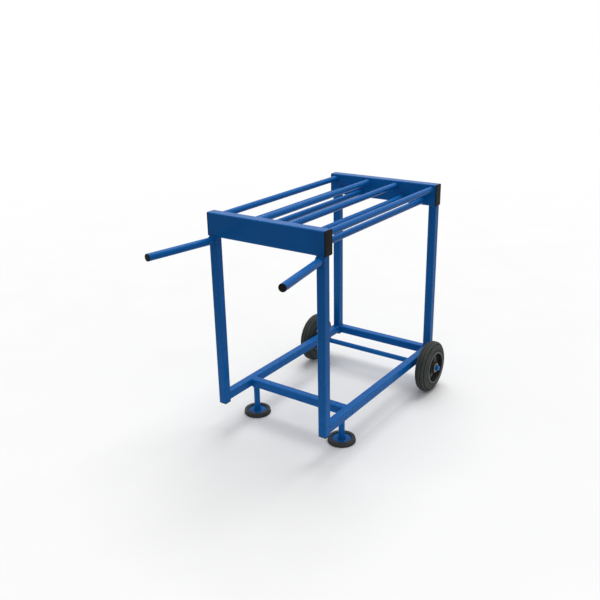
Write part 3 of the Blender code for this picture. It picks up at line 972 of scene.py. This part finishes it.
def tyreProfile(outerRadius, halfWidth):
    # an upright ellipse from the crown to the bulge, with grooves cut square to it
    depth = outerRadius - tyre["bulge"]
    flank = halfWidth - tyre["crown"]
    half = tyre["grooveWidth"] / 2
    lip = tyre["lip"]
    deep = tyre["grooveDepth"]
    foot = tyre["grooveFoot"]
    floor = tyre["grooveFloor"]
    nearby = tyre["slopeStep"]

    def levelAt(offset):
        share = max(0.0, abs(offset) - tyre["crown"]) / flank
        return tyre["bulge"] + depth * math.sqrt(max(0.0, 1 - share ** 2))

    sunkRings = []
    tread = []
    for groove in tyre["grooves"]:
        slope = (levelAt(groove + nearby) - levelAt(groove - nearby)) / (2 * nearby)
        steep = math.sqrt(1 + slope ** 2)
        middle = Vector((levelAt(groove), groove))
        along = Vector((slope, 1)) / steep
        inwards = Vector((-1, slope)) / steep
        reach = (half + lip) / steep
        cut = [(levelAt(groove + reach), groove + reach)]
        shares = ((1, lip), (foot, deep - lip), (floor, deep))
        for share, sunk in shares + tuple((-share, sunk) for share, sunk in reversed(shares)):
            cut.append(tuple(middle + along * half * share + inwards * sunk))
        cut.append((levelAt(groove - reach), groove - reach))
        if tread:
            above = tread[-1][1]
            for step in range(1, tyre["ribSteps"]):
                offset = above + (cut[0][1] - above) * step / tyre["ribSteps"]
                tread.append((levelAt(offset), offset))
        sunkRings += [len(tread) + number for number in range(2, len(cut) - 2)]  # all but the two lips
        tread += cut
    side = list(tyre["bead"])
    for radius, sunk in tyre["sideLines"]:
        share = (radius - tyre["bulge"]) / depth
        side.append((radius, tyre["crown"] + flank * math.sqrt(1 - share ** 2) - sunk))
    profile = side + tread + [(radius, -height) for radius, height in reversed(side)]
    return profile, [len(side) + number for number in sunkRings]


def markGrooveShade(mesh, ringNumbers, sides):
    # 1 at the bottom of the grooves, which get painted shade
    values = [0.0] * len(mesh.vertices)
    for ring in ringNumbers:
        values[ring * sides:(ring + 1) * sides] = [1.0] * sides
    mesh.attributes.new("sunk", "FLOAT", "POINT").data.foreach_set("value", values)


# Rims: the barrel and the hub are turned, the web is grown from one window's share of it

rim = {
    "bore": 0.0567,
    "lip": 0.0014,
    "outerLip": 0.8,  # the rounding towards the tyre, as a share of the lip
    "mouth": ((0, 0.0036), (0.0006, 0.0044)),  # in from the bore, and from the rim's side
    "slope": 0.0015,
    "halfWidth": 0.0265,
    "sides": 120,
    "hub": 0.020,
    "hubHalf": 0.0245,
    "hubBore": 0.0128,
    "hubBoreBevel": 0.0006,
    "hubTaper": 0.0015,
    "hubEdge": 0.0012,
    "hubSides": 80,
    "web": 0.0025,  # half of its thickness
    "webLevel": 0.008,  # middle of the wheel to the middle of the web, at the barrel
    "dish": 0.008,  # how much further out the web is at the hub
    "fillet": 0.0026,
    "filletLap": 0.0008,  # each fillet runs on this far and ends this deep in the web
    "filletSunk": 0.0006,
}
window = {
    "count": 5,
    "firstDegrees": 44.6,
    "inner": 0.0255,
    "outer": 0.0497,
    "spoke": 0.0115,
    "round": 0.0015,
    "roundDegrees": (30, 60, 90),
    "lipWidth": 0.0022,
    "lipHeight": 0.0006,
    "lipFoot": 0.0007,
    "lipKeeper": 0.0013,
    "roomLeft": 0.8,  # most of the way to the border that a ring may use
    "borderSteps": (20, 14, 12, 14),  # along the barrel, a spoke, the hub and the other spoke
    "lap": 0.001,  # how far the web runs into the barrel and the hub
    "merge": 0.00001,
}
webFoot = rim["bore"] - rim["slope"]


def webLevel(radius):
    return rim["webLevel"] + rim["dish"] * (webFoot - radius) / (webFoot - rim["hub"])


def facedProfile(outer, nearWeb):
    # outer points mirror from face to face, the others stand on either face of the dished web
    points = {}
    for facing in (1, -1):
        points[facing] = [(size, facing * level) for size, level in outer]
        points[facing] += [(size, webLevel(size) + facing * level) for size, level in nearWeb]
    return points[1] + points[-1][::-1]


def barrelProfile(radius):
    lip = rim["lip"]
    outerLip = lip * rim["outerLip"]
    fillet = rim["fillet"]
    halfWidth = rim["halfWidth"]
    outer = profileArc(radius - outerLip, halfWidth - outerLip, outerLip, 0, 90)
    outer += profileArc(rim["bore"] + lip, halfWidth - lip, lip, 90, 180)
    outer += [(rim["bore"] - inwards, halfWidth - behind) for inwards, behind in rim["mouth"]]
    nearWeb = profileArc(webFoot - fillet, rim["web"] + fillet, fillet, 0, -90)
    nearWeb.append((webFoot - fillet - rim["filletLap"], rim["web"] - rim["filletSunk"]))
    return facedProfile(outer, nearWeb)


def hubProfile():
    edge = rim["hubEdge"]
    fillet = rim["fillet"]
    bevel = rim["hubBoreBevel"]
    end = rim["hub"] - rim["hubTaper"]
    outer = [(rim["hubBore"], rim["hubHalf"] - bevel), (rim["hubBore"] + bevel, rim["hubHalf"])]
    outer += profileArc(end - edge, rim["hubHalf"] - edge, edge, 90, 0)
    nearWeb = profileArc(rim["hub"] + fillet, rim["web"] + fillet, fillet, 180, 270)
    nearWeb.append((rim["hub"] + fillet + rim["filletLap"], rim["web"] - rim["filletSunk"]))
    return facedProfile(outer, nearWeb)


def windowShare():
    # one window with the web round it, between the hub and the barrel and half way to its neighbours
    near = rim["hub"] + window["lap"]
    far = webFoot + window["lap"]
    halfAngle = math.pi / window["count"]
    corners = ((far, -halfAngle), (far, halfAngle), (near, halfAngle), (near, -halfAngle))
    border = []
    closing = []  # the two arcs are closed, and at the spokes the shares meet
    for number, count in enumerate(window["borderSteps"]):
        ends = list(zip(corners[number], corners[(number + 1) % len(corners)]))
        for step in range(count):
            border.append([first + (last - first) * step / count for first, last in ends])
            closing.append(number % 2 == 0)
    centre = Vector(((window["inner"] + window["outer"]) / 2, 0))
    halfDeep = (window["outer"] - window["inner"]) / 2
    halfWide = (window["inner"] + window["outer"]) / 2 * math.sin(halfAngle) - window["spoke"] / 2
    web = rim["web"]
    soft = window["round"]
    crest = web + window["lipHeight"]
    width = window["lipWidth"]
    # distance out from the window's wall, and height; without a distance, the ring is the border
    steps = [(0, 0), (0, crest - soft)]
    for degrees in window["roundDegrees"]:
        turn = math.radians(degrees)
        steps.append((soft * (1 - math.cos(turn)), crest - soft * (1 - math.sin(turn))))
    steps += [(width, crest), (width + window["lipFoot"], web), (width + window["lipKeeper"], web)]
    steps.append((None, web))

    def ringPoint(distance, angle, out, level):
        point = Vector((distance * math.cos(angle), distance * math.sin(angle)))
        if out is not None:
            ray = point - centre
            hole = centre + ray * (1 / math.sqrt((ray.x / halfDeep) ** 2 + (ray.y / halfWide) ** 2))
            point = hole + ray.normalized() * min(out, window["roomLeft"] * (point - hole).length)
        return (*point, webLevel(point.length) + level)

    work = bmesh.new()
    loops = {1: [], -1: []}
    for facing in (1, -1):
        for out, level in steps:
            if facing < 0 and level == 0:
                loops[facing].append(loops[1][0])
            else:
                points = [ringPoint(distance, angle, out, facing * level) for distance, angle in border]
                loops[facing].append([work.verts.new(point) for point in points])
        for lower, upper in zip(loops[facing], loops[facing][1:]):
            bandFaces(work, lower, upper)
    top = loops[1][-1]
    bottom = loops[-1][-1]
    for number in range(len(border)):
        if closing[number - 1]:
            work.faces.new((top[number - 1], top[number], bottom[number], bottom[number - 1]))
    return meshOf(work)


webTree, given = newTree("windowedWeb", ("First angle", "Merge distance"), ("Windows",))
inputs = {"Count": given["Windows"], "Offset": (0, 0, 0)}
spots = addNode(webTree, "GeometryNodeMeshLine", inputs, mode="OFFSET", count_mode="TOTAL")
share = mathOf(webTree, "DIVIDE", addNode(webTree, "GeometryNodeInputIndex").outputs[0], given["Windows"])
swing = mathOf(webTree, "MULTIPLY_ADD", share, 2 * math.pi, given["First angle"])
spin = addNode(webTree, "ShaderNodeCombineXYZ", {"Z": swing})
inputs = {"Points": spots, "Instance": given["Geometry"], "Rotation": spin}
copies = addNode(webTree, "GeometryNodeInstanceOnPoints", inputs)
real = addNode(webTree, "GeometryNodeRealizeInstances", {0: copies})
inputs = {"Geometry": real, "Distance": given["Merge distance"]}
endTree(webTree, given, addNode(webTree, "GeometryNodeMergeByDistance", inputs))

for side, sign in sideSigns.items():
    # its Z points away from the rack
    alongAxle = Euler((sign * math.pi / 2, 0, math.pi / 2)).to_matrix().to_4x4()
    body = "wheel_" + side
    centre, extent = boxOf("tyre_" + side)
    profile, sunkRings = tyreProfile(extent.z / 2, extent.x / 2)
    outside = turnedMesh(profile, tyre["sides"])
    markGrooveShade(outside, sunkRings, tyre["sides"])
    replaceNode("tyre_" + side, placed(outside, centre, alongAxle), tyreRubber, "tyre", body)
    centre, extent = boxOf("wheel_rim_" + side)
    values = {
        "Windows": window["count"], "First angle": sign * math.radians(window["firstDegrees"]),
        "Merge distance": window["merge"], "Finish": rimPlastic,
    }
    wheelRim = joinedMesh([
        grownMesh(webTree, windowShare(), values),
        turnedMesh(barrelProfile(extent.z / 2), rim["sides"]),
        turnedMesh(hubProfile(), rim["hubSides"]),
    ])
    replaceNode("wheel_rim_" + side, placed(wheelRim, centre, alongAxle), rimPlastic, "black_plastic", body)
    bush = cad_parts["wheel_bush_" + side]
    bush.data.materials.clear()
    bush.data.materials.append(bushCoat)
print("wheels made")


# Weld beads along the joints, grown by a node tree: a rippled, slightly wandering bead

weld = {
    "pitch": 0.0021,
    "ripple": 0.11,
    "step": 0.0005,
    "wander": 0.0011,
    "seed": 3.0,
    "driftScale": 110.0,
    "driftDetail": 2.0,
    "uneven": 0.5,
    "bluntEnd": 0.0003,
    "taper": 0.003,
    "ringTaper": 0.000001,  # a bead that closes on itself has no ends to taper
    "sides": 10,
    "ringSteps": 48,
    "cornerGap": 0.0018,
}
# radius of each bead, and how far a ring of it stands off the tube and off the face
weldSizes = {
    "frame": {"bead": 0.0019},
    "rail": {"bead": 0.0018, "stand": 0.0006},
    "handle": {"bead": 0.0036, "stand": 0.0014},
    "foot": {"bead": 0.0027, "stand": 0.0010},
    "axle": {"bead": 0.0024, "beside": 0.0068, "below": 0.0016, "half": 0.0135},
}
# how far a straight bead lies outside the edge of the tube, and off the face that it stands on
fillet = {"out": 0.0006, "lift": 0.0006}  # where a tube stands on a wider face
flush = {"out": -0.0013, "lift": 0.0}  # in the groove between two faces in one plane
legOutside = {"out": -0.0013, "lift": 0.0014}
legEndFace = {"out": -0.0016, "lift": -0.0006}

beadTree, given = newTree("weldBead", (
    "Bead radius", "Ripple pitch", "Ripple height", "Step", "Wander", "End taper", "Seed",
))
seam = addNode(beadTree, "GeometryNodeMeshToCurve", {0: given["Geometry"]})
inputs = {"Curve": seam, "Length": given["Step"]}
steps = addNode(beadTree, "GeometryNodeResampleCurve", inputs, mode="LENGTH")
inputs = {"Vector": addNode(beadTree, "GeometryNodeInputPosition"), "W": given["Seed"]}
inputs |= {"Scale": weld["driftScale"], "Detail": weld["driftDetail"]}
drift = addNode(beadTree, "ShaderNodeTexNoise", inputs, noise_dimensions="4D")
inputs = {0: drift.outputs["Color"], 1: (0.5, 0.5, 0.5)}
centred = addNode(beadTree, "ShaderNodeVectorMath", inputs, operation="SUBTRACT")
inputs = {0: centred, "Scale": given["Wander"]}
wander = addNode(beadTree, "ShaderNodeVectorMath", inputs, operation="SCALE")
moved = addNode(beadTree, "GeometryNodeSetPosition", {"Geometry": steps, "Offset": wander})
along = addNode(beadTree, "GeometryNodeSplineParameter").outputs["Length"]
total = addNode(beadTree, "GeometryNodeSplineLength").outputs["Length"]
turns = mathOf(beadTree, "DIVIDE", along, given["Ripple pitch"])
wave = mathOf(beadTree, "SINE", mathOf(beadTree, "MULTIPLY", turns, 2 * math.pi))
swell = mathOf(beadTree, "MULTIPLY_ADD", wave, given["Ripple height"], 1.0)
uneven = mathOf(beadTree, "MULTIPLY_ADD", drift.outputs["Fac"], weld["uneven"], -weld["uneven"] / 2)
thick = mathOf(beadTree, "ADD", swell, uneven)
nearest = mathOf(beadTree, "MINIMUM", along, mathOf(beadTree, "SUBTRACT", total, along))
nearEnd = mathOf(beadTree, "ADD", nearest, weld["bluntEnd"])
rounded = mathOf(beadTree, "SQRT", mathOf(beadTree, "DIVIDE", nearEnd, given["End taper"], clamped=True))
inputs = {"Resolution": weld["sides"], "Radius": given["Bead radius"]}
beadRound = addNode(beadTree, "GeometryNodeCurvePrimitiveCircle", inputs, mode="RADIUS")
inputs = {0: moved, 1: beadRound, "Scale": mathOf(beadTree, "MULTIPLY", thick, rounded), "Fill Caps": True}
endTree(beadTree, given, addNode(beadTree, "GeometryNodeCurveToMesh", inputs))


def weldPiece(kind, seams):
    closed = seams[0][1]
    values = {
        "Bead radius": weldSizes[kind]["bead"], "End taper": weld["ringTaper"] if closed else weld["taper"],
        "Ripple pitch": weld["pitch"], "Ripple height": weld["ripple"], "Step": weld["step"],
        "Wander": weld["wander"], "Seed": weld["seed"], "Finish": framePaint,
    }
    mesh = grownMesh(beadTree, pathMesh(seams), values)
    addPiece(kind + "Welds", mesh, framePaint, "blue_paint", "frame")


def ringSeam(centre, across, up, away, radiusAcross, radiusUp, stand):
    path = []
    for number in range(weld["ringSteps"]):
        angle = 2 * math.pi * number / weld["ringSteps"]
        aside = across * ((radiusAcross + stand) * math.cos(angle))
        path.append(centre + (aside + up * ((radiusUp + stand) * math.sin(angle))) + away * stand)
    return path, True


unitX = Vector((1, 0, 0))
unitY = Vector((0, 1, 0))
unitZ = Vector((0, 0, 1))
beamCentre, beamSize = boxOf("front_beam")
rearCentre, rearSize = boxOf("rear_beam")
beamUnderside = beamCentre.z - beamSize.z / 2
legHalf = boxOf("leg_front_left")[1].x / 2
frameSeams = []


def sideSeams(centre, away, sorts):
    # along the sides of a square end: across points to a side, up runs along it
    reach = legHalf - weld["cornerGap"]
    for across, up, sort in sorts:
        middle = centre + across * (legHalf + sort["out"]) + away * sort["lift"]
        frameSeams.append(([middle - up * reach, middle + up * reach], False))


for end, inwards in endSigns.items():
    for side, sign in sideSigns.items():
        leg = boxOf(f"leg_{end}_{side}")[0]
        outX = unitX * sign
        inY = unitY * inwards
        sideSeams(Vector((leg.x, leg.y, beamUnderside)), -unitZ, (
            (outX, unitY, legOutside), (-outX, unitY, fillet),
            (inY, unitX, fillet), (-inY, unitX, legEndFace),
        ))
        joint = Vector((leg.x, leg.y + inwards * legHalf, boxOf("side_rail_" + side)[0].z))
        sideSeams(joint, inY, (
            (unitX, unitZ, flush), (-unitX, unitZ, flush), (unitZ, unitX, fillet), (-unitZ, unitX, fillet),
        ))
for node, ySort, zSort in (("front_cross_tube", fillet, flush), ("rear_cross_tube", flush, fillet)):
    tube = boxOf(node)[0]
    for side, sign in sideSigns.items():
        joint = Vector((boxOf("leg_front_" + side)[0].x - sign * legHalf, tube.y, tube.z))
        sideSeams(joint, unitX * -sign, (
            (unitY, unitZ, ySort), (-unitY, unitZ, ySort), (unitZ, unitY, zSort), (-unitZ, unitY, zSort),
        ))
weldPiece("frame", frameSeams)

railSeams = []
for node in railNodes:
    rail, railSize = boxOf(node)
    radius = railSize.x / 2
    for y, away in ((beamCentre.y + beamSize.y / 2, unitY), (rearCentre.y - rearSize.y / 2, -unitY)):
        centre = Vector((rail.x, y, rail.z))
        railSeams.append(ringSeam(centre, unitX, unitZ, away, radius, radius, weldSizes["rail"]["stand"]))
weldPiece("rail", railSeams)

handleSeams = []
for side in sideSigns:
    root, turn, radius = handleAxis(side)
    wide = radius / math.cos(splay)
    handleSeams.append(ringSeam(root, unitX, unitZ, -unitY, wide, radius, weldSizes["handle"]["stand"]))
weldPiece("handle", handleSeams)

footSeams = []
for side in sideSigns:
    stem, stemSize = boxOf("foot_stem_" + side)
    radius = stemSize.x / 2
    for level, away in ((stem.z + stemSize.z / 2, -unitZ), (stem.z - stemSize.z / 2, unitZ)):
        centre = Vector((stem.x, stem.y, level))
        footSeams.append(ringSeam(centre, unitX, unitY, away, radius, radius, weldSizes["foot"]["stand"]))
weldPiece("foot", footSeams)

axleSeams = []
axleWeld = weldSizes["axle"]
for side in sideSigns:
    rail, railSize = boxOf("side_rail_" + side)
    for facing in (-1, 1):
        y = axleCentre.y + facing * axleWeld["beside"]
        z = rail.z - railSize.z / 2 - axleWeld["below"]
        ends = (rail.x - axleWeld["half"], rail.x + axleWeld["half"])
        axleSeams.append(([Vector((x, y, z)) for x in ends], False))
weldPiece("axle", axleSeams)
print("welds made")


# Floor, light and background

floorSizes = {
    "reach": 60.0,
    "roughness": 0.9,
    "specular": 0.1,
    "colour": (0.70, 0.70, 0.70),
    "cloud": (0.685, 0.685, 0.685),
    "clouds": {"scale": 3, "detail": 2, "between": (0.3, 0.7)},
    "fade": (1.6, 5.0),  # distances from the middle where it starts and ends
    "bright": (0.90, 0.90, 0.90),
    "dim": (0.08, 0.08, 0.08),
    "dimming": (0.7, 1.3),
}


def seenRays(tree):
    # 1 for what the camera sees, directly, in a reflection or through something
    rays = tree.nodes.new("ShaderNodeLightPath")
    shown = mathOf(tree, "ADD", rays.outputs["Is Camera Ray"], rays.outputs["Is Glossy Ray"])
    return mathOf(tree, "ADD", shown, rays.outputs["Is Transmission Ray"])


floorLook = newFinish("floorFinish", floorSizes["roughness"], 0, floorSizes["specular"])
floorFinish, tree, shader, places = floorLook
clouds = patternOf(tree, places, floorSizes["clouds"])
pale = mixOf(tree, clouds, floorSizes["colour"], floorSizes["cloud"])
# far away the floor turns into the white of the background, without a horizon
away = addNode(tree, "ShaderNodeVectorMath", {0: places}, operation="LENGTH").outputs["Value"]
shown = seenRays(tree)
fade = mathOf(tree, "MULTIPLY", rampOf(tree, away, *floorSizes["fade"]), shown)
# the light it throws back comes from near the rack, so that low parts are lighter than high ones
dim = rampOf(tree, away, *floorSizes["dimming"])
thrown = mixOf(tree, dim, floorSizes["bright"], floorSizes["dim"])
feed(tree, shader, {"Base Color": mixOf(tree, shown, thrown, pale)})
white = addNode(tree, "ShaderNodeEmission", {"Strength": 1.0})
blend = addNode(tree, "ShaderNodeMixShader", {0: fade, 1: shader, 2: white})
feed(tree, tree.nodes["Material Output"], {"Surface": blend})
reach = floorSizes["reach"]
corners = [(-reach, -reach, 0), (reach, -reach, 0), (reach, reach, 0), (-reach, reach, 0)]
floorMesh = bpy.data.meshes.new("floor")
floorMesh.from_pydata(corners, [], [(0, 1, 2, 3)])
floorMesh.materials.append(floorFinish)
floor = newObject("floor", floorMesh)
floor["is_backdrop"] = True

lights = {
    "overhead": {"towards": (-0.06, 0.36, 0.92), "strength": 2.55, "softDegrees": 45},
    "fromRight": {"towards": (0.80, -0.10, 0.60), "strength": 0.18, "softDegrees": 50},
}
for name, sizes in lights.items():
    lamp = bpy.data.lights.new(name, "SUN")
    lamp.energy = sizes["strength"]
    lamp.angle = math.radians(sizes["softDegrees"])
    holder = newObject(name, lamp)
    holder.rotation_euler = Vector(sizes["towards"]).to_track_quat("Z", "Y").to_euler()

background = {"fill": 0.62, "seen": 1.0}
world = bpy.data.worlds.new("studio")
bpy.context.scene.world = world
world.use_nodes = True
tree = world.node_tree
strength = rampOf(tree, seenRays(tree), 0, 1, background["fill"], background["seen"])
feed(tree, tree.nodes["Background"], {"Color": (1, 1, 1, 1), "Strength": strength})
bpy.context.scene.view_settings.view_transform = "Standard"
print("floor and light made")

sizes = {"cad": [list(corner) for corner in cadBox], "visual": [list(corner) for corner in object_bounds()]}
